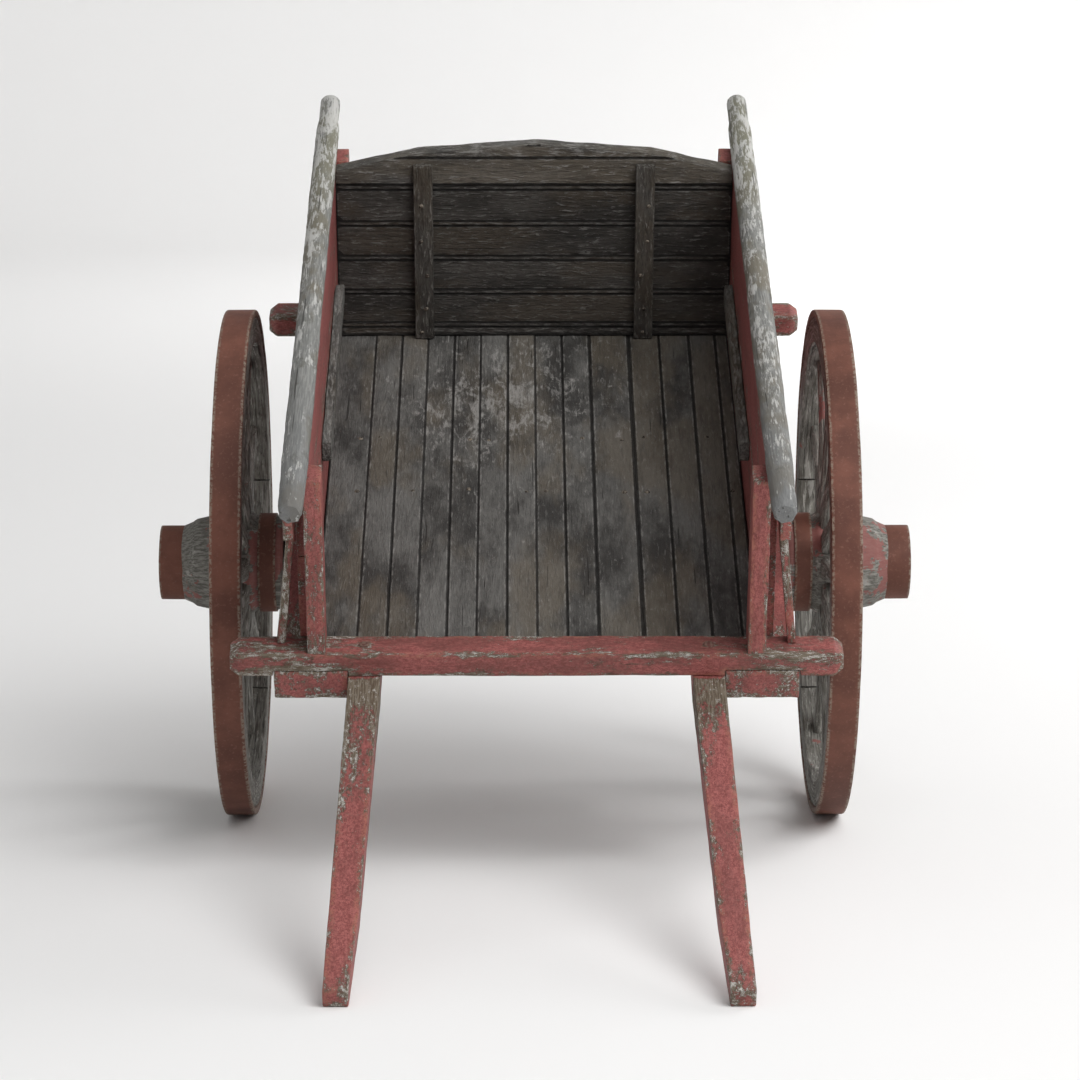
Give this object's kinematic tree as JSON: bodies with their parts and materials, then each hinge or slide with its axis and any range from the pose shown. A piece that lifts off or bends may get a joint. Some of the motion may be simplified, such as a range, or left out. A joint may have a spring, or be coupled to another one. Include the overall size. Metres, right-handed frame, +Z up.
{
  "type": "two-wheeled wooden handcart",
  "caption": "Old wooden farm handcart with a sloping open-ended box bed, arched headboard, round top rails, iron-tyred spoked wheels and two long shafts resting on the ground.",
  "frame": {"origin": "middle of the bounding box in X and Y, on the ground that the wheels and shaft tips stand on", "axes": "+X across the cart to its right seen from the tail, +Y from the shaft tips towards the headboard, +Z up"},
  "size_m": [1.258, 1.8632, 1.1934],
  "materials": {
    "red_painted_wood": "old red paint, chalky and chipped to grey wood",
    "grey_weathered_wood": "bare weathered poles, silver grey with pale flecks",
    "bed_boards": "dark weathered boards, matte, worn pale in the middle",
    "headboard_wood": "very dark stained boards, matte",
    "wheel_wood": "grey weathered wheel timber with traces of red paint",
    "axle_wood": "worn dark red paint on axle timber",
    "rusty_iron": "even red-brown rust, matte",
    "forged_iron": "dark forged iron, worn at the bearing"
  },
  "bodies": {
    "cart": {"axle_arm_left": "forged_iron", "axle_arm_right": "forged_iron", "axle_bolster": "axle_wood", "axle_tree": "axle_wood", "braces_left": "red_painted_wood", "braces_right": "red_painted_wood", "coach_bolts": "forged_iron", "crossbar_head": "red_painted_wood", "crossbar_tail": "red_painted_wood", "floor_board_1": "bed_boards", "floor_board_2": "bed_boards", "floor_board_3": "bed_boards", "floor_board_4": "bed_boards", "floor_board_5": "bed_boards", "floor_board_6": "bed_boards", "floor_board_7": "bed_boards", "floor_board_8": "bed_boards", "headboard_batten_left": "headboard_wood", "headboard_batten_right": "headboard_wood", "headboard_plank_1": "headboard_wood", "headboard_plank_2": "headboard_wood", "headboard_plank_3": "headboard_wood", "headboard_plank_4": "headboard_wood", "headboard_plank_5": "headboard_wood", "headboard_plank_6": "headboard_wood", "headboard_rear_battens": "headboard_wood", "linchpins": "forged_iron", "post_head_left": "red_painted_wood", "post_head_right": "red_painted_wood", "post_tail_left": "red_painted_wood", "post_tail_right": "red_painted_wood", "rave_board_left": "red_painted_wood", "rave_board_right": "red_painted_wood", "shaft_left": "red_painted_wood", "shaft_right": "red_painted_wood", "side_board_lower_left": "red_painted_wood", "side_board_lower_right": "red_painted_wood", "side_board_upper_left": "red_painted_wood", "side_board_upper_right": "red_painted_wood", "side_cleat_left": "grey_weathered_wood", "side_cleat_right": "grey_weathered_wood", "sill_left": "red_painted_wood", "sill_right": "red_painted_wood", "top_rail_left": "grey_weathered_wood", "top_rail_right": "grey_weathered_wood"},
    "left_wheel": {"wheel_felloes_left": "wheel_wood", "wheel_inner_hoop_left": "rusty_iron", "wheel_nave_box_left": "forged_iron", "wheel_nave_left": "wheel_wood", "wheel_outer_hoop_left": "rusty_iron", "wheel_spokes_left": "wheel_wood", "wheel_tyre_left": "rusty_iron"},
    "right_wheel": {"wheel_felloes_right": "wheel_wood", "wheel_inner_hoop_right": "rusty_iron", "wheel_nave_box_right": "forged_iron", "wheel_nave_right": "wheel_wood", "wheel_outer_hoop_right": "rusty_iron", "wheel_spokes_right": "wheel_wood", "wheel_tyre_right": "rusty_iron"}
  },
  "joints": [
    {"name": "left_wheel_spin", "type": "hinge", "parent": "cart", "child": "left_wheel", "pos_m": [-0.492, 0.39672, 0.425], "axis": [1, 0, 0], "continuous": true},
    {"name": "right_wheel_spin", "type": "hinge", "parent": "cart", "child": "right_wheel", "pos_m": [0.492, 0.39672, 0.425], "axis": [1, 0, 0], "continuous": true}
  ]
}
